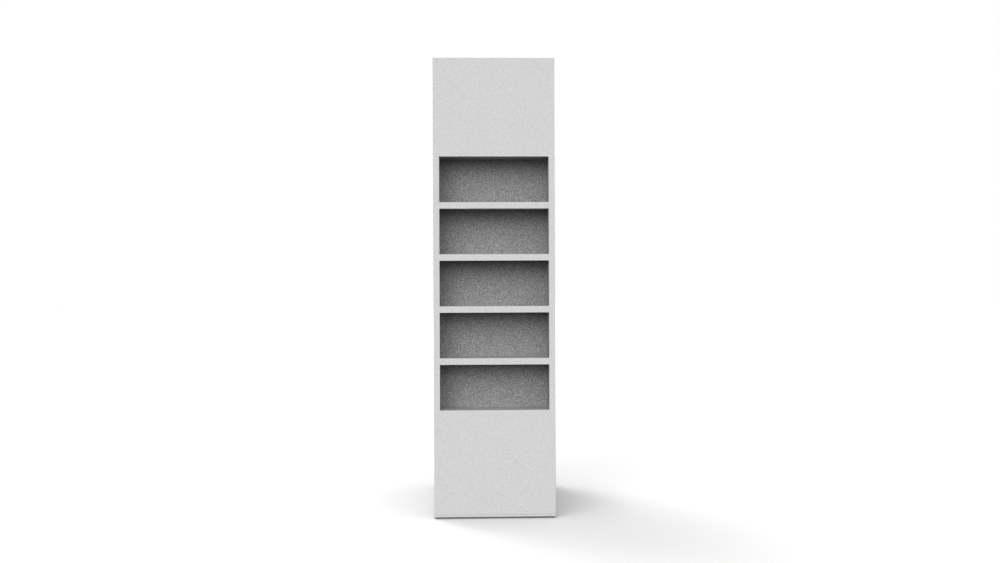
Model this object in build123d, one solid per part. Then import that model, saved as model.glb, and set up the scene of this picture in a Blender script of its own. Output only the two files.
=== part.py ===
from build123d import *

import os

# Floor display stand in folded corrugated board. Millimetres, +Z up, the shopper stands on the -Y side.
# The origin is the middle of the footprint, on the floor.

# Footprint, and the gap that shows under the sleeve
STAND_WIDTH = 400.0
STAND_DEPTH = 600.0
FLOOR_GAP = 6.0

# Front panel of the sleeve, from its top edge down
HEADER_HEIGHT = 324.0
WINDOW_COUNT = 5
WINDOW_HEIGHT = 150.0
BAND_HEIGHT = 21.0
LOWER_PANEL_HEIGHT = 350.0
STILE_WIDTH = 20.0
WINDOW_CORNER_RADIUS = 1.5

# Depth of a display bay behind the front face
BAY_DEPTH = 90.0

# Board thicknesses: double wall outside, single wall inside
SLEEVE_BOARD = 4.0
TRAY_BOARD = 4.0
CAP_BOARD = 3.0
LINER_BOARD = 3.0
SHELF_BOARD = 3.0
BRACE_BOARD = 4.0

# Scored line that runs round the sleeve just above its lower edge
SCORE_HEIGHT = 7.0
SCORE_WIDTH = 0.8
SCORE_DEPTH = 0.5

# Rounding of a fold on its outer and inner side, and the room left between pieces that slide together
CREASE_OUTER = 1.5
CREASE_INNER = 0.4
SLIDE_FIT = 0.3

# Glue laps and the walls of the trays
SLEEVE_LAP = 35.0
SLEEVE_LAP_BEVEL = 18.0
SHELF_LAP = 24.0
TRAY_WALL_HEIGHT = 110.0
TRAY_LAP = 45.0
CAP_WALL_HEIGHT = 60.0
CAP_LAP = 35.0

# Tongues on the shelf ends, which hook through slots in the liner
TONGUE_WIDTH = 22.0
TONGUE_REACH = 10.0
TONGUE_CHAMFER = 2.5
TONGUE_PITCH = 46.0

# Crossed braces in the empty body: how far behind the middle the wide one stands
WIDE_BRACE_OFFSET = 45.0

# A glued corner, named by the signs of its X and Y
REAR_RIGHT = (1, 1)
ALL_CORNERS = [(1, 1), (-1, 1), (1, -1), (-1, -1)]

# Heights
SLEEVE_BOTTOM = FLOOR_GAP
SLEEVE_HEIGHT = (
    HEADER_HEIGHT
    + WINDOW_COUNT * WINDOW_HEIGHT
    + (WINDOW_COUNT - 1) * BAND_HEIGHT
    + LOWER_PANEL_HEIGHT
)
STAND_TOP = SLEEVE_BOTTOM + SLEEVE_HEIGHT
WINDOW_PITCH = WINDOW_HEIGHT + BAND_HEIGHT
INNER_FLOOR = TRAY_BOARD
INNER_CEILING = STAND_TOP - CAP_BOARD

# Planes that the inner pieces line up with
SLEEVE_INNER_X = STAND_WIDTH / 2 - SLEEVE_BOARD
SLEEVE_INNER_Y = STAND_DEPTH / 2 - SLEEVE_BOARD
BAY_HALF_WIDTH = STAND_WIDTH / 2 - STILE_WIDTH
BAY_FRONT_Y = -SLEEVE_INNER_Y
BAY_BACK_Y = -STAND_DEPTH / 2 + BAY_DEPTH
LINER_REAR_Y = BAY_BACK_Y + LINER_BOARD


def block(x_span, y_span, z_span):
    """A square-edged block between three pairs of limits."""
    size = [high - low for low, high in (x_span, y_span, z_span)]
    middle = [(high + low) / 2 for low, high in (x_span, y_span, z_span)]
    return Pos(*middle) * Box(*size)


def window_bottom(row):
    """Height of the lower edge of a window, where row 0 is the lowest."""
    return SLEEVE_BOTTOM + LOWER_PANEL_HEIGHT + row * WINDOW_PITCH


def to_corner(shape, joint):
    """Carries a shape from the corner at +X +Y to the corner whose signs are given."""
    x_sign, y_sign = joint
    if x_sign < 0:
        shape = mirror(shape, Plane.YZ)
    if y_sign < 0:
        shape = mirror(shape, Plane.XZ)
    return shape


def glue_flap(width, depth, board, lap):
    """Section of the lap that is glued inside the +X +Y corner of a board ring."""
    face_x = width / 2 - board
    face_y = depth / 2 - board
    reach = lap - board
    return Pos(face_x - reach / 2, face_y - board / 2) * Rectangle(reach, board)


def joint_groove(width, depth, board):
    """Section of the groove outside a glued corner, between the fold and the raw edge that covers it."""
    fold_centre = Pos(width / 2 - CREASE_OUTER, depth / 2 - board - CREASE_OUTER)
    corner = Pos(CREASE_OUTER / 2, CREASE_OUTER / 2) * Rectangle(CREASE_OUTER, CREASE_OUTER)
    return fold_centre * (corner - Circle(CREASE_OUTER))


def board_ring(width, depth, board, joints):
    """Section of a sheet folded round four sides. Each corner in joints is glued, the others are folds."""
    outer = Rectangle(width, depth)
    folds = [
        corner
        for corner in outer.vertices()
        if (corner.X > 0, corner.Y > 0) not in [(x > 0, y > 0) for x, y in joints]
    ]
    if folds:
        outer = fillet(folds, CREASE_OUTER)
    opening = RectangleRounded(width - 2 * board, depth - 2 * board, CREASE_INNER)
    grooves = [to_corner(joint_groove(width, depth, board), joint) for joint in joints]
    return outer - [opening, *grooves]


def make_sleeve_lap():
    """The lap inside the glued corner, cut short of the tray and the cap and bevelled at both ends."""
    bottom = TRAY_WALL_HEIGHT + SLIDE_FIT
    top = STAND_TOP - CAP_WALL_HEIGHT - SLIDE_FIT
    flap = glue_flap(STAND_WIDTH, STAND_DEPTH, SLEEVE_BOARD, SLEEVE_LAP)
    lap = Pos(0, 0, bottom) * extrude(flap, top - bottom)
    return chamfer(lap.edges().filter_by(Axis.Y).group_by(Axis.X)[0], SLEEVE_LAP_BEVEL)


def make_score_line():
    """The groove that the score presses into the outside of the sleeve."""
    around = Rectangle(STAND_WIDTH + SLEEVE_BOARD, STAND_DEPTH + SLEEVE_BOARD)
    width = STAND_WIDTH - 2 * SCORE_DEPTH
    depth = STAND_DEPTH - 2 * SCORE_DEPTH
    groove = around - RectangleRounded(width, depth, CREASE_OUTER - SCORE_DEPTH)
    return Pos(0, 0, SLEEVE_BOTTOM + SCORE_HEIGHT - SCORE_WIDTH / 2) * extrude(groove, SCORE_WIDTH)


def make_outer_sleeve():
    """The wrap: one sheet, glued at the rear right corner, with the windows cut in its front."""
    section = board_ring(STAND_WIDTH, STAND_DEPTH, SLEEVE_BOARD, [REAR_RIGHT])
    sleeve = Pos(0, 0, SLEEVE_BOTTOM) * extrude(section, SLEEVE_HEIGHT)
    window = RectangleRounded(2 * BAY_HALF_WIDTH, WINDOW_HEIGHT, WINDOW_CORNER_RADIUS)
    windows = []
    for row in range(WINDOW_COUNT):
        middle = (0, BAY_FRONT_Y, window_bottom(row) + WINDOW_HEIGHT / 2)
        front = Plane(middle, x_dir=(1, 0, 0), z_dir=(0, -1, 0))
        windows.append(extrude(front * window, SLEEVE_BOARD))
    return sleeve + make_sleeve_lap() - [make_score_line(), *windows]


def folded_strip(points, board):
    """Section of a folded sheet. One face follows the points, and the board lies to the left of it."""
    corners = [Vector(*point) for point in points]
    runs = [(end - start).normalized() for start, end in zip(corners, corners[1:])]
    lefts = [Vector(-run.Y, run.X) for run in runs]
    far_side = [corners[0] + lefts[0] * board]
    face_radii = []
    far_radii = []
    for corner, before, after, run, next_run in zip(
        corners[1:], lefts, lefts[1:], runs, runs[1:]
    ):
        far_side.append(corner + (before + after) * (board / (1 + before.dot(after))))
        turns_left = run.cross(next_run).Z > 0
        face_radii.append(CREASE_OUTER if turns_left else CREASE_INNER)
        far_radii.append(CREASE_INNER if turns_left else CREASE_OUTER)
    far_side.append(corners[-1] + lefts[-1] * board)
    face_line = FilletPolyline(*corners, radius=face_radii)
    far_line = FilletPolyline(*far_side, radius=far_radii)
    ends = [Line(corners[0], far_side[0]), Line(corners[-1], far_side[-1])]
    return make_face([*face_line.edges(), *far_line.edges(), *ends])


def shelf_panel_spans(shelf_bottom):
    """The height limits of a shelf's lower and upper panel."""
    shelf_top = shelf_bottom + BAND_HEIGHT
    return [
        (shelf_bottom, shelf_bottom + SHELF_BOARD),
        (shelf_top - SHELF_BOARD, shelf_top),
    ]


def tongue_centres():
    """Depths at which the tongues stand on a shelf's ends."""
    middle = (BAY_FRONT_Y + BAY_BACK_Y) / 2
    return [middle - TONGUE_PITCH / 2, middle + TONGUE_PITCH / 2]


def shelf_bottoms():
    """Undersides of the five shelves and of the soffit over the top bay."""
    return [window_bottom(row) - BAND_HEIGHT for row in range(WINDOW_COUNT + 1)]


def make_tongue(side, centre_y, z_span):
    """One tongue, with its leading corners cut back so that it finds its slot."""
    root = BAY_HALF_WIDTH - SLIDE_FIT
    outline = Pos(root + TONGUE_REACH / 2, centre_y) * Rectangle(TONGUE_REACH, TONGUE_WIDTH)
    outline = chamfer(outline.vertices().group_by(Axis.X)[-1], TONGUE_CHAMFER)
    tongue = Pos(0, 0, z_span[0]) * extrude(outline, z_span[1] - z_span[0])
    return tongue if side > 0 else mirror(tongue, Plane.YZ)


def make_shelf(shelf_bottom):
    """A flat tube folded from one sheet, glued at its lower rear edge, with tongues on both ends."""
    tube_depth = BAY_BACK_Y - BAY_FRONT_Y - SLIDE_FIT
    middle = (0, BAY_FRONT_Y + tube_depth / 2, shelf_bottom + BAND_HEIGHT / 2)
    across = Plane(middle, x_dir=(0, 1, 0), z_dir=(-1, 0, 0))
    ring = board_ring(tube_depth, BAND_HEIGHT, SHELF_BOARD, [REAR_RIGHT])
    section = ring + glue_flap(tube_depth, BAND_HEIGHT, SHELF_BOARD, SHELF_LAP)
    tongues = [
        make_tongue(side, centre_y, z_span)
        for z_span in shelf_panel_spans(shelf_bottom)
        for centre_y in tongue_centres()
        for side in (-1, 1)
    ]
    return extrude(across * section, BAY_HALF_WIDTH - SLIDE_FIT, both=True) + tongues


def liner_slots():
    """The slots in the liner's two side walls. A tongue rests on the lower edge of its slot."""
    slots = []
    for shelf_bottom in shelf_bottoms():
        for low, high in shelf_panel_spans(shelf_bottom):
            for centre_y in tongue_centres():
                half_width = TONGUE_WIDTH / 2 + SLIDE_FIT
                y_span = (centre_y - half_width, centre_y + half_width)
                reach = STAND_WIDTH / 2
                slots.append(block((-reach, reach), y_span, (low, high + SLIDE_FIT)))
    return slots


def make_niche_liner():
    """The back and side walls of all the bays: one sheet, with a flange glued behind each stile."""
    flange_end = SLEEVE_INNER_X - CREASE_INNER - SLIDE_FIT
    section = folded_strip(
        [
            (-flange_end, BAY_FRONT_Y),
            (-BAY_HALF_WIDTH, BAY_FRONT_Y),
            (-BAY_HALF_WIDTH, BAY_BACK_Y),
            (BAY_HALF_WIDTH, BAY_BACK_Y),
            (BAY_HALF_WIDTH, BAY_FRONT_Y),
            (flange_end, BAY_FRONT_Y),
        ],
        LINER_BOARD,
    )
    top = INNER_CEILING - SLIDE_FIT
    liner = Pos(0, 0, INNER_FLOOR) * extrude(section, top - INNER_FLOOR)
    return liner - [*wall_notches(), *liner_slots()]


def wall_notches():
    """The room that the walls and laps of the tray and the cap take up, just inside the sleeve."""
    notches = []
    for board, z_span in (
        (TRAY_BOARD, (-SLIDE_FIT, TRAY_WALL_HEIGHT + SLIDE_FIT)),
        (CAP_BOARD, (STAND_TOP - CAP_WALL_HEIGHT - SLIDE_FIT, STAND_TOP)),
    ):
        room_x = SLEEVE_INNER_X - SLIDE_FIT - board - SLIDE_FIT
        room_y = SLEEVE_INNER_Y - SLIDE_FIT - 2 * board - SLIDE_FIT
        whole = block((-STAND_WIDTH, STAND_WIDTH), (-STAND_DEPTH, STAND_DEPTH), z_span)
        notches.append(whole - block((-room_x, room_x), (-room_y, room_y), z_span))
    return notches


def make_tray(board, wall_height, lap):
    """A shallow tray that fits inside the sleeve: floor, four walls and a glued lap at each corner."""
    width = 2 * (SLEEVE_INNER_X - SLIDE_FIT)
    depth = 2 * (SLEEVE_INNER_Y - SLIDE_FIT)
    x_span = (-width / 2, width / 2)
    y_span = (-depth / 2, depth / 2)
    outside = fillet(
        block(x_span, y_span, (0, wall_height)).edges().group_by(Axis.Z)[0], CREASE_OUTER
    )
    flap = glue_flap(width, depth, board, lap)
    flaps = [to_corner(flap, corner) for corner in ALL_CORNERS]
    walls = extrude(board_ring(width, depth, board, ALL_CORNERS) + flaps, wall_height)
    return outside & (walls + block(x_span, y_span, (0, board)))


def make_base_tray():
    """The tray that the stand rests on. The sleeve is glued round it, a little above the floor."""
    return make_tray(TRAY_BOARD, TRAY_WALL_HEIGHT, TRAY_LAP)


def make_top_cap():
    """The same tray turned over, flush with the top edge of the sleeve."""
    return Pos(0, 0, STAND_TOP) * mirror(make_tray(CAP_BOARD, CAP_WALL_HEIGHT, CAP_LAP), Plane.XY)


def halving_slot(z_span):
    """The slot that one brace has for the other where they cross."""
    half = BRACE_BOARD / 2 + SLIDE_FIT
    middle = WIDE_BRACE_OFFSET
    return block((-half, half), (middle - half, middle + half), z_span)


def make_brace_long():
    """The panel from the liner to the rear wall, slotted from the top."""
    middle_height = (INNER_FLOOR + INNER_CEILING) / 2
    brace = block(
        (-BRACE_BOARD / 2, BRACE_BOARD / 2),
        (LINER_REAR_Y + SLIDE_FIT, SLEEVE_INNER_Y - SLIDE_FIT),
        (INNER_FLOOR, INNER_CEILING - SLIDE_FIT),
    )
    return brace - wall_notches() - halving_slot((middle_height, INNER_CEILING))


def make_brace_wide():
    """The panel from one side wall to the other, slotted from the foot."""
    middle_height = (INNER_FLOOR + INNER_CEILING) / 2
    brace = block(
        (-SLEEVE_INNER_X + SLIDE_FIT, SLEEVE_INNER_X - SLIDE_FIT),
        (WIDE_BRACE_OFFSET - BRACE_BOARD / 2, WIDE_BRACE_OFFSET + BRACE_BOARD / 2),
        (INNER_FLOOR, INNER_CEILING - SLIDE_FIT),
    )
    return brace - wall_notches() - halving_slot((INNER_FLOOR, middle_height))


def main():
    """Builds every piece in its place and writes one file for each."""
    pieces = {
        "outer_sleeve": make_outer_sleeve(),
        "niche_liner": make_niche_liner(),
        "base_tray": make_base_tray(),
        "top_cap": make_top_cap(),
        "brace_long": make_brace_long(),
        "brace_wide": make_brace_wide(),
    }
    *shelves, soffit = shelf_bottoms()
    for number, shelf_bottom in enumerate(shelves, start=1):
        pieces[f"shelf_{number}"] = make_shelf(shelf_bottom)
    pieces["header_soffit"] = make_shelf(soffit)
    os.makedirs("parts", exist_ok=True)
    for name, piece in pieces.items():
        export_step(piece, f"parts/{name}.step")


main()
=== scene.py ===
# Floor display stand: the sleeve in fluted board, the finish of each board, the studio and the camera

import math

import bmesh
import bpy
from mathutils import Matrix, Vector


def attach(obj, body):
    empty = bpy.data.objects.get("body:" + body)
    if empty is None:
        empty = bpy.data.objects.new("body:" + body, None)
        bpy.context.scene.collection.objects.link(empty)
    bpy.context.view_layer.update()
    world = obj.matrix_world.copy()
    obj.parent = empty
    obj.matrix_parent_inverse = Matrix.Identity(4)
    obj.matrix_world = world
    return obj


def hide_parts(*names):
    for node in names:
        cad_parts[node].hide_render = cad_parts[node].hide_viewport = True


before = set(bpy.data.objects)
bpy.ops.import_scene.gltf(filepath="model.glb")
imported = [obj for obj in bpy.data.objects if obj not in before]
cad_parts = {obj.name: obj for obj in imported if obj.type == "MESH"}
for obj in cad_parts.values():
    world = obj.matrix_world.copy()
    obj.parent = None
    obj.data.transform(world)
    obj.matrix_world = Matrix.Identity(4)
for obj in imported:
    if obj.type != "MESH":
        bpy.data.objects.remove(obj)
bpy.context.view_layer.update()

# Photograph's frame and the camera matched to it, in metres and degrees
IMAGE_WIDTH_PX = 1000
FOCAL_LENGTH_PX = 1105.0
SENSOR_WIDTH_MM = 36.0
CAMERA_PLACE = Vector((-0.0929, -3.9294, 0.7810))
CAMERA_YAW = 1.759
CAMERA_PITCH = -0.031
CAMERA_ROLL = 0.222
CAMERA_REACH = 100.0

# Studio light. Each soft lamp is an elevation, an azimuth clockwise from straight behind the stand,
# a spread and a strength, in degrees and in units of white.
DOME_LEVEL = 0.54
SOFT_LAMPS = (
    (28.0, 209.0, 14.0, 4.15),
    (56.0, 322.0, 8.0, 9.0),
    (18.0, 155.0, 42.0, 0.88),
)

# The floor: its size, the grey it shows where it is seen, the grey that throws light back at the stand,
# and how many degrees its shading leans backwards, so that the lamps in front cast weaker shadows on it
FLOOR_SIZE = 60.0
FLOOR_SHOWN = 0.89
FLOOR_BOUNCE = 0.03
FLOOR_LEAN = 8.0

# Contact shade on the floor: how far it reaches, how much it would take where nothing is open,
# and the open share below which it grows no darker
CONTACT_REACH = 0.3
CONTACT_SHADE = 0.3
CONTACT_LIMIT = 0.5

# Driving dimensions of the sleeve, in metres, with the names that part.py gives them
STAND_WIDTH = 0.4
STAND_DEPTH = 0.6
FLOOR_GAP = 0.006
HEADER_HEIGHT = 0.324
WINDOW_COUNT = 5
WINDOW_HEIGHT = 0.15
BAND_HEIGHT = 0.021
LOWER_PANEL_HEIGHT = 0.35
STILE_WIDTH = 0.02
WINDOW_CORNER_RADIUS = 0.0015
SLEEVE_BOARD = 0.004
CREASE_OUTER = 0.0015
CREASE_INNER = 0.0004
SLIDE_FIT = 0.0003
SLEEVE_LAP = 0.035
SLEEVE_LAP_BEVEL = 0.018
TRAY_WALL_HEIGHT = 0.11
CAP_WALL_HEIGHT = 0.06

# The scored line. It is a little shallower than in part.py, so that it stays inside the outer skin.
SCORE_HEIGHT = 0.007
SCORE_WIDTH = 0.0008
SCORE_DEPTH = 0.00045

# Planes and heights that follow from them
HALF_WIDTH = STAND_WIDTH / 2
HALF_DEPTH = STAND_DEPTH / 2
LAP_EDGE_X = HALF_WIDTH - SLEEVE_BOARD
LAP_FACE_Y = HALF_DEPTH - SLEEVE_BOARD
WINDOW_HALF_WIDTH = HALF_WIDTH - STILE_WIDTH
WINDOW_PITCH = WINDOW_HEIGHT + BAND_HEIGHT
SLEEVE_BOTTOM = FLOOR_GAP
LOWEST_WINDOW_BOTTOM = SLEEVE_BOTTOM + LOWER_PANEL_HEIGHT
SLEEVE_TOP = LOWEST_WINDOW_BOTTOM + WINDOW_COUNT * WINDOW_PITCH - BAND_HEIGHT + HEADER_HEIGHT

# How far the blocks that cut the windows stand out on both sides of the front face
CUTTER_REACH = 0.01

# Outer face of the sleeve in plan: from the lap along the right side, the front and the left side to the back
SLEEVE_FACE = (
    (LAP_EDGE_X, LAP_FACE_Y),
    (HALF_WIDTH, LAP_FACE_Y),
    (HALF_WIDTH, -HALF_DEPTH),
    (-HALF_WIDTH, -HALF_DEPTH),
    (-HALF_WIDTH, HALF_DEPTH),
    (HALF_WIDTH, HALF_DEPTH),
)

# What the board is made of: two paper skins and a waved sheet between them
SKIN = 0.0005
WAVED_SHEET = 0.0003
WAVE_PITCH = 0.0072
WAVE_CLEAR_OF_FOLD = 0.0022

# Straight steps in each wave and in each quarter turn
WAVE_STEPS = 12
ARC_STEPS = 5

# Material places on the sleeve
FACE = 0
CORE = 1
# The score's place takes a darker grey, painted shade along the crease
SCORE_SHADE = 2

# Colours of the boards
OUTER_WHITE = (0.708, 0.708, 0.708)
# Painted shade: the cap is the white board made darker, toning down the strong light on the top
CAP_SHADED_WHITE = (0.66, 0.66, 0.66)
CORE_GREY = (0.42, 0.42, 0.42)
# Painted shade: the score's darker grey darkens the crease
SCORE_SHADE_GREY = (0.40, 0.40, 0.40)
# Painted shade: the grey of the shelves and the soffit stands in for the shadow inside the niches
SHELF_SHADE_GREY = (0.33, 0.33, 0.33)
# Painted shade: the liner's grey stands in for the shadow at the back of the niches
LINER_SHADE_GREY = (0.277, 0.277, 0.277)
# Painted shade: the tray's grey darkens the shadow gap under the sleeve
TRAY_SHADE_GREY = (0.22, 0.22, 0.22)
BRACE_BROWN = (0.35, 0.22, 0.12)

# Papers: the strength of the mottle, the scale of its grain and the strength of the flecks
PLAIN_PAPER = (0.36, 180.0, 0.0)
FLECKED_STOCK = (2.5, 290.0, 3.2)
TRAY_STOCK = (1.2, 290.0, 0.8)

# Turn of the grain in the board, in radians, which keeps it from lining up with the board's faces
GRAIN_TURN = (0.6, 0.4, 0.9)

# Noises of the board: detail and roughness of the grain, and scale, detail and roughness of the others
GRAIN_NOISE = (2.0, 0.6)
TOOTH_NOISE = (1400.0, 2.0, 0.6)
CLOUD_NOISE = (14.0, 4.0, 0.55)
FLECK_NOISE = (330.0, 1.0, 0.5)

# How much the tooth, the clouds and the waves under the paper change its shade
TOOTH_SHADE = 0.10
CLOUD_SHADE = 0.04
WAVE_SHADE = 0.002

# Where in the noise the flecks start and are full, and how strong the dark ones are beside the pale ones
PALE_FLECKS = (0.62, 0.74)
DARK_FLECKS = (0.36, 0.28)
DARK_FLECK_SHARE = 0.1

# The shade may rise to this many times a board's colour
SHADE_HEADROOM = 2

# Gloss and relief of the board
BOARD_ROUGHNESS = 0.82
BOARD_SPECULAR = 0.12
RELIEF_STRENGTH = 0.12
RELIEF_DISTANCE = 0.0002
WAVE_RELIEF = 0.25
TOOTH_RELIEF = 0.5

BLACK = (0.0, 0.0, 0.0, 1.0)
WHITE = (1.0, 1.0, 1.0, 1.0)

# Places of the colour sockets on a Mix node
MIX_FIRST = 6
MIX_SECOND = 7
MIX_RESULT = 2


class Nodes:
    """Short calls for building a node tree."""

    def __init__(self, tree):
        self.tree = tree

    def add(self, kind, inputs=None, **settings):
        node = self.tree.nodes.new(kind)
        for key, value in settings.items():
            setattr(node, key, value)
        for key, value in (inputs or {}).items():
            self.put(node.inputs[key], value)
        return node

    def put(self, socket, value):
        if isinstance(value, bpy.types.NodeSocket):
            self.tree.links.new(value, socket)
        else:
            socket.default_value = value

    def math(self, operation, *values):
        node = self.add("ShaderNodeMath", operation=operation)
        for socket, value in zip(node.inputs, values):
            self.put(socket, value)
        return node.outputs[0]

    def ramp(self, value, start, full):
        node = self.add(
            "ShaderNodeMapRange",
            {"Value": value, "From Min": start, "From Max": full},
            interpolation_type="SMOOTHSTEP",
        )
        return node.outputs["Result"]

    def mix(self, factor, first, second):
        node = self.add("ShaderNodeMix", data_type="RGBA", clamp_factor=True)
        self.put(node.inputs["Factor"], factor)
        self.put(node.inputs[MIX_FIRST], first)
        self.put(node.inputs[MIX_SECOND], second)
        return node.outputs[MIX_RESULT]

    def noise(self, coordinates, scale, detail, roughness):
        node = self.add(
            "ShaderNodeTexNoise",
            {"Vector": coordinates, "Scale": scale, "Detail": detail, "Roughness": roughness},
        )
        return node.outputs["Fac"]

    def swing(self, value, share, level):
        """A level that a noise moves up and down by a share, evenly about the middle of the noise."""
        return self.math("MULTIPLY_ADD", self.math("SUBTRACT", value, 0.5), share, level)


def new_material(name):
    material = bpy.data.materials.new(name)
    material.use_nodes = True
    material.node_tree.nodes.clear()
    return material, Nodes(material.node_tree)


def board_material(name, colour, paper=PLAIN_PAPER, flute_axis="X"):
    """Matt board: mottled paper with a fine tooth, flecks if it is grey stock, and faint waves under it."""
    mottle, grain_scale, fleck = paper
    material, nodes = new_material(name)
    place = nodes.add("ShaderNodeTexCoord").outputs["Object"]
    turned = nodes.add("ShaderNodeMapping", {"Vector": place, "Rotation": GRAIN_TURN}).outputs["Vector"]
    grain = nodes.noise(turned, grain_scale, *GRAIN_NOISE)
    tooth = nodes.noise(turned, *TOOTH_NOISE)
    cloud = nodes.noise(turned, *CLOUD_NOISE)
    along = nodes.add("ShaderNodeSeparateXYZ", {"Vector": place}).outputs[flute_axis]
    wave = nodes.math("SINE", nodes.math("MULTIPLY", along, 2 * math.pi / WAVE_PITCH))
    shade = nodes.swing(grain, mottle, 1.0)
    shade = nodes.swing(cloud, CLOUD_SHADE, shade)
    shade = nodes.swing(tooth, TOOTH_SHADE, shade)
    shade = nodes.math("MULTIPLY_ADD", wave, WAVE_SHADE, shade)
    if fleck:
        spot = nodes.noise(turned, *FLECK_NOISE)
        shade = nodes.math("MULTIPLY_ADD", nodes.ramp(spot, *PALE_FLECKS), fleck, shade)
        shade = nodes.math("MULTIPLY_ADD", nodes.ramp(spot, *DARK_FLECKS), -DARK_FLECK_SHARE * fleck, shade)
    palest = tuple(SHADE_HEADROOM * channel for channel in colour) + (1.0,)
    tone = nodes.mix(nodes.math("MULTIPLY", shade, 1 / SHADE_HEADROOM), BLACK, palest)
    relief = nodes.math("MULTIPLY_ADD", wave, WAVE_RELIEF, nodes.math("MULTIPLY", tooth, TOOTH_RELIEF))
    bump = nodes.add(
        "ShaderNodeBump",
        {"Strength": RELIEF_STRENGTH, "Distance": RELIEF_DISTANCE, "Height": relief},
    )
    shader = nodes.add(
        "ShaderNodeBsdfPrincipled",
        {
            "Base Color": tone,
            "Roughness": BOARD_ROUGHNESS,
            "Specular IOR Level": BOARD_SPECULAR,
            "Normal": bump.outputs["Normal"],
        },
    )
    output = nodes.add("ShaderNodeOutputMaterial")
    nodes.put(output.inputs["Surface"], shader.outputs["BSDF"])
    return material


def offset_line(face, offset):
    """The line that runs inside a folded sheet at an offset to the right of its outer face."""
    corners = [Vector(point) for point in face]
    runs = [(end - start).normalized() for start, end in zip(corners, corners[1:])]
    rights = [Vector((run.y, -run.x)) for run in runs]
    share = offset / SLEEVE_BOARD
    radius = CREASE_OUTER + (CREASE_INNER - CREASE_OUTER) * share
    line = [corners[0] + rights[0] * offset]
    for corner, run, next_run, right, next_right in zip(corners[1:], runs, runs[1:], rights, rights[1:]):
        middle = corner + (right + next_right) * offset - run * radius + next_run * radius
        for step in range(ARC_STEPS + 1):
            turn = math.pi / 2 * step / ARC_STEPS
            line.append(middle + (run * math.sin(turn) - next_run * math.cos(turn)) * radius)
    line.append(corners[-1] + rights[-1] * offset)
    return line


def add_strip(mesh, levels, material_index, shaded_score_levels=()):
    """Adds a closed strip. Each level is a height and the strip's two long sides there.

    From each level in the score up to the next level, the first side takes the score's darker grey, painted
    shade along the crease.
    """
    loops = []
    for height, one_side, other_side in levels:
        loops.append(
            (
                [mesh.verts.new((point.x, point.y, height)) for point in one_side],
                [mesh.verts.new((point.x, point.y, height)) for point in other_side],
            )
        )
    faces = []
    shaded_score_faces = []
    count = len(loops[0][0])
    for level, ((one, other), (next_one, next_other)) in enumerate(zip(loops, loops[1:])):
        outside = shaded_score_faces if level in shaded_score_levels else faces
        for here in range(count - 1):
            there = here + 1
            outside.append((one[here], one[there], next_one[there], next_one[here]))
            faces.append((other[there], other[here], next_other[here], next_other[there]))
        faces.append((other[0], one[0], next_one[0], next_other[0]))
        faces.append((one[-1], other[-1], next_other[-1], next_one[-1]))
    for one, other in (loops[0], loops[-1]):
        for here in range(count - 1):
            faces.append((one[here], other[here], other[here + 1], one[here + 1]))
    for corners in faces:
        mesh.faces.new(corners).material_index = material_index
    # The faces in the score take its darker grey, painted shade along the crease
    for corners in shaded_score_faces:
        mesh.faces.new(corners).material_index = SCORE_SHADE


def waved_sides(start, end, right):
    """Both sides of the waved sheet that fills one flat panel, from one end of the panel to the other."""
    run = (end - start).normalized()
    length = (end - start).length
    waves = max(1, round(length / WAVE_PITCH))
    height = (SLEEVE_BOARD - 2 * SKIN - WAVED_SHEET) / 2
    sides = ([], [])
    for step in range(waves * WAVE_STEPS + 1):
        turn = 2 * math.pi * step / WAVE_STEPS
        slope = height * math.cos(turn) * 2 * math.pi * waves / length
        across = (right - run * slope).normalized()
        place = start + run * (length * step / (waves * WAVE_STEPS))
        place = place + right * (SLEEVE_BOARD / 2 + height * math.sin(turn))
        sides[0].append(place - across * WAVED_SHEET / 2)
        sides[1].append(place + across * WAVED_SHEET / 2)
    return sides


def skin_mesh(first, last, scored):
    """One paper skin of the sleeve, between two offsets from its outer face."""
    mesh = bmesh.new()
    near = offset_line(SLEEVE_FACE, first)
    far = offset_line(SLEEVE_FACE, last)
    levels = [(SLEEVE_BOTTOM, near, far), (SLEEVE_TOP, near, far)]
    shaded_score_levels = ()
    if scored:
        score_line = offset_line(SLEEVE_FACE, SCORE_DEPTH)
        middle = SLEEVE_BOTTOM + SCORE_HEIGHT
        levels[1:1] = [
            (middle - SCORE_WIDTH / 2, near, far),
            (middle, score_line, far),
            (middle + SCORE_WIDTH / 2, near, far),
        ]
        # The two levels in the score take its darker grey, painted shade along the crease
        shaded_score_levels = (1, 2)
    add_strip(mesh, levels, FACE, shaded_score_levels)
    return mesh


def core_mesh():
    """The waved sheet of every panel, kept clear of the folds, where the board is crushed."""
    mesh = bmesh.new()
    corners = [Vector(point) for point in SLEEVE_FACE]
    for start, end in zip(corners[1:], corners[2:]):
        run = (end - start).normalized()
        right = Vector((run.y, -run.x))
        start = start + run * (SLEEVE_BOARD + WAVE_CLEAR_OF_FOLD)
        raw_edge = end == corners[-1]
        end = end - run * (WAVED_SHEET if raw_edge else SLEEVE_BOARD + WAVE_CLEAR_OF_FOLD)
        one_side, other_side = waved_sides(start, end, right)
        add_strip(mesh, [(SLEEVE_BOTTOM, one_side, other_side), (SLEEVE_TOP, one_side, other_side)], CORE)
    return mesh


def add_prism(mesh, outline, y_low, y_high):
    """Adds a block with an outline in the X Z plane, between two depths."""
    front = [mesh.verts.new((x, y_low, z)) for x, z in outline]
    back = [mesh.verts.new((x, y_high, z)) for x, z in outline]
    mesh.faces.new(front)
    mesh.faces.new(back[::-1])
    for here in range(len(outline)):
        there = (here + 1) % len(outline)
        mesh.faces.new((front[here], back[here], back[there], front[there]))


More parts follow.
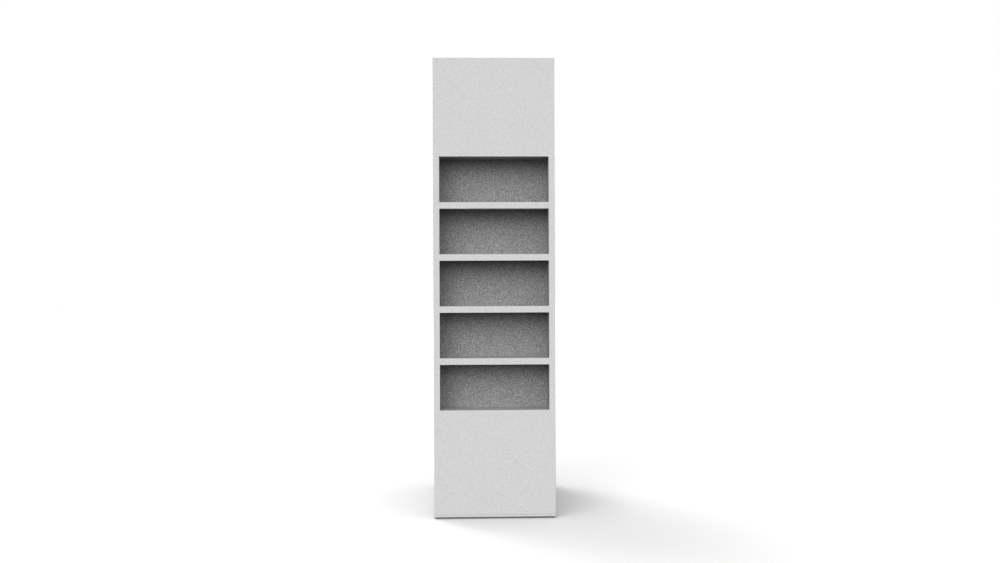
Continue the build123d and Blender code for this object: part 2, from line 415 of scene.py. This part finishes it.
def window_outline(bottom):
    """The outline of one window, with its small rounded corners."""
    outline = []
    radius = WINDOW_CORNER_RADIUS
    x_middle = WINDOW_HALF_WIDTH - radius
    for quarter, (x_sign, z_sign) in enumerate(((1, 1), (-1, 1), (-1, -1), (1, -1))):
        z_middle = bottom + WINDOW_HEIGHT / 2 + z_sign * (WINDOW_HEIGHT / 2 - radius)
        for step in range(ARC_STEPS + 1):
            turn = math.pi / 2 * (quarter + step / ARC_STEPS)
            outline.append((x_sign * x_middle + radius * math.cos(turn), z_middle + radius * math.sin(turn)))
    return outline


def lap_outline():
    """The outline of the glue lap, which is cut short of the tray and the cap and bevelled at both ends."""
    bottom = TRAY_WALL_HEIGHT + SLIDE_FIT
    top = SLEEVE_TOP - CAP_WALL_HEIGHT - SLIDE_FIT
    tip = HALF_WIDTH - SLEEVE_LAP
    shoulder = tip + SLEEVE_LAP_BEVEL
    return (
        (LAP_EDGE_X, bottom),
        (LAP_EDGE_X, top),
        (shoulder, top),
        (tip, top - SLEEVE_LAP_BEVEL),
        (tip, bottom + SLEEVE_LAP_BEVEL),
        (shoulder, bottom),
    )


def mesh_object(name, mesh, materials=()):
    """Turns a bmesh into an object in the scene."""
    bmesh.ops.recalc_face_normals(mesh, faces=mesh.faces)
    data = bpy.data.meshes.new(name)
    mesh.to_mesh(data)
    mesh.free()
    for material in materials:
        data.materials.append(material)
    thing = bpy.data.objects.new(name, data)
    bpy.context.scene.collection.objects.link(thing)
    return thing


def window_cutter():
    """Blocks that pass through the front panel where the windows are."""
    mesh = bmesh.new()
    for row in range(WINDOW_COUNT):
        outline = window_outline(LOWEST_WINDOW_BOTTOM + WINDOW_PITCH * row)
        add_prism(mesh, outline, -HALF_DEPTH - CUTTER_REACH, -HALF_DEPTH + CUTTER_REACH)
    return mesh_object("cutter", mesh)


def cut_windows(thing, cutter):
    """Cuts the windows out of one layer of the board."""
    modifier = thing.modifiers.new("windows", "BOOLEAN")
    modifier.object = cutter
    modifier.operation = "DIFFERENCE"
    modifier.solver = "EXACT"
    shown = thing.evaluated_get(bpy.context.evaluated_depsgraph_get())
    cut = bpy.data.meshes.new_from_object(shown)
    thing.modifiers.clear()
    old = thing.data
    thing.data = cut
    bpy.data.meshes.remove(old)


def make_sleeve(*materials):
    """The sleeve in real corrugated board: its skins and its waves show at every cut edge."""
    cutter = window_cutter()
    layers = [
        mesh_object("outer_skin", skin_mesh(0.0, SKIN, True), materials),
        mesh_object("inner_skin", skin_mesh(SLEEVE_BOARD - SKIN, SLEEVE_BOARD, False), materials),
        mesh_object("core", core_mesh(), materials),
    ]
    whole = bmesh.new()
    for layer in layers:
        cut_windows(layer, cutter)
        whole.from_mesh(layer.data)
        bpy.data.objects.remove(layer)
    bpy.data.objects.remove(cutter)
    add_prism(whole, lap_outline(), LAP_FACE_Y - SLEEVE_BOARD, LAP_FACE_Y)
    sleeve = mesh_object("sleeve_in_fluted_board", whole, materials)
    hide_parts("outer_sleeve")
    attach(sleeve, "root")


def dress(node_name, material):
    """Gives a CAD node one finish all over."""
    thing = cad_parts[node_name]
    thing.data.materials.clear()
    thing.data.materials.append(material)


def dress_all():
    """Gives every piece its board: white outside, brown braces, and flecked stock inside whose greys, like
    the cap's darker white, are painted shade.
    """
    front = board_material("white_board", OUTER_WHITE)
    core = board_material("core_board", CORE_GREY)
    # The score's board is a darker grey, painted shade along the crease
    score_line = board_material("score_shade_board", SCORE_SHADE_GREY)
    make_sleeve(front, core, score_line)
    # The liner, the shelves and the soffit are grey as painted shade, standing in for the niches' shadow
    dress("niche_liner", board_material("liner_board", LINER_SHADE_GREY, FLECKED_STOCK))
    shelf = board_material("shelf_board", SHELF_SHADE_GREY, FLECKED_STOCK)
    for number in range(1, WINDOW_COUNT + 1):
        dress(f"shelf_{number}", shelf)
    dress("header_soffit", shelf)
    # The tray's grey is painted shade in the gap under the sleeve
    dress("base_tray", board_material("tray_board", TRAY_SHADE_GREY, TRAY_STOCK))
    # The cap's darker white is painted shade against the light on the top
    dress("top_cap", board_material("cap_board", CAP_SHADED_WHITE, flute_axis="Y"))
    brace = board_material("brace_board", BRACE_BROWN, flute_axis="Y")
    dress("brace_long", brace)
    dress("brace_wide", brace)


def make_camera():
    """The camera at the photograph's viewing angle."""
    data = bpy.data.cameras.new("camera")
    data.sensor_width = SENSOR_WIDTH_MM
    data.lens = FOCAL_LENGTH_PX / IMAGE_WIDTH_PX * SENSOR_WIDTH_MM
    data.clip_end = CAMERA_REACH
    camera = bpy.data.objects.new("camera", data)
    bpy.context.scene.collection.objects.link(camera)
    turn = (
        Matrix.Rotation(math.radians(-CAMERA_YAW), 4, "Z")
        @ Matrix.Rotation(math.radians(90 + CAMERA_PITCH), 4, "X")
        @ Matrix.Rotation(math.radians(-CAMERA_ROLL), 4, "Z")
    )
    camera.matrix_world = Matrix.Translation(CAMERA_PLACE) @ turn
    bpy.context.scene.camera = camera


def seen_by_camera(nodes):
    """1 for rays that show a background: from the camera, a gloss or through glass."""
    path = nodes.add("ShaderNodeLightPath")
    seen = nodes.math("MAXIMUM", path.outputs["Is Camera Ray"], path.outputs["Is Glossy Ray"])
    return nodes.math("MAXIMUM", seen, path.outputs["Is Transmission Ray"])


def compass(elevation, azimuth):
    """The direction at an elevation and at an azimuth clockwise from straight behind the stand."""
    rise = math.radians(elevation)
    turn = math.radians(azimuth)
    return (math.cos(rise) * math.sin(turn), math.cos(rise) * math.cos(turn), math.sin(rise))


def make_world():
    """An even dome with soft lamps in it. Where it is seen, it is plain white."""
    world = bpy.data.worlds.new("studio")
    bpy.context.scene.world = world
    world.use_nodes = True
    world.node_tree.nodes.clear()
    nodes = Nodes(world.node_tree)
    direction = nodes.add("ShaderNodeTexCoord").outputs["Generated"]
    level = DOME_LEVEL
    for elevation, azimuth, spread, strength in SOFT_LAMPS:
        towards = nodes.add(
            "ShaderNodeVectorMath",
            {0: direction, 1: compass(elevation, azimuth)},
            operation="DOT_PRODUCT",
        )
        fall = nodes.math("SUBTRACT", towards.outputs["Value"], 1.0)
        fall = nodes.math("MULTIPLY", fall, 1 / math.radians(spread) ** 2)
        glow = nodes.math("MULTIPLY", nodes.math("EXPONENT", fall), strength)
        level = nodes.math("ADD", level, glow)
    height = nodes.add("ShaderNodeSeparateXYZ", {"Vector": direction}).outputs["Z"]
    level = nodes.math("MULTIPLY", level, nodes.math("GREATER_THAN", height, 0.0))
    light = nodes.add("ShaderNodeBackground", {"Color": WHITE, "Strength": level})
    white = nodes.add("ShaderNodeBackground", {"Color": WHITE, "Strength": 1.0})
    pick = nodes.add("ShaderNodeMixShader", {0: seen_by_camera(nodes)})
    nodes.put(pick.inputs[1], light.outputs[0])
    nodes.put(pick.inputs[2], white.outputs[0])
    output = nodes.add("ShaderNodeOutputWorld")
    nodes.put(output.inputs["Surface"], pick.outputs[0])


def make_floor():
    """The pale floor. It shows white with the stand's shadow, and throws little light back up."""
    half = FLOOR_SIZE / 2
    mesh = bpy.data.meshes.new("floor")
    corners = [(-half, -half, 0), (half, -half, 0), (half, half, 0), (-half, half, 0)]
    mesh.from_pydata(corners, [], [(0, 1, 2, 3)])
    floor = bpy.data.objects.new("floor", mesh)
    bpy.context.scene.collection.objects.link(floor)
    material, nodes = new_material("floor")
    lean = nodes.add("ShaderNodeCombineXYZ", dict(zip("XYZ", compass(90 - FLOOR_LEAN, 0.0))))
    contact = nodes.add("ShaderNodeAmbientOcclusion", {"Distance": CONTACT_REACH})
    open_share = nodes.math("MAXIMUM", contact.outputs["AO"], CONTACT_LIMIT)
    level = nodes.math("MULTIPLY_ADD", open_share, CONTACT_SHADE, 1.0 - CONTACT_SHADE)
    level = nodes.math("MULTIPLY", level, FLOOR_SHOWN)
    tone = nodes.mix(level, BLACK, WHITE)
    shown = nodes.add("ShaderNodeBsdfDiffuse", {"Color": tone, "Normal": lean.outputs[0]})
    bounce = nodes.add("ShaderNodeBsdfDiffuse", {"Color": (FLOOR_BOUNCE,) * 3 + (1.0,)})
    pick = nodes.add("ShaderNodeMixShader", {0: seen_by_camera(nodes)})
    nodes.put(pick.inputs[1], bounce.outputs[0])
    nodes.put(pick.inputs[2], shown.outputs[0])
    output = nodes.add("ShaderNodeOutputMaterial")
    nodes.put(output.inputs["Surface"], pick.outputs[0])
    mesh.materials.append(material)


make_camera()
make_world()
make_floor()
dress_all()
bpy.context.scene.view_settings.view_transform = "Standard"
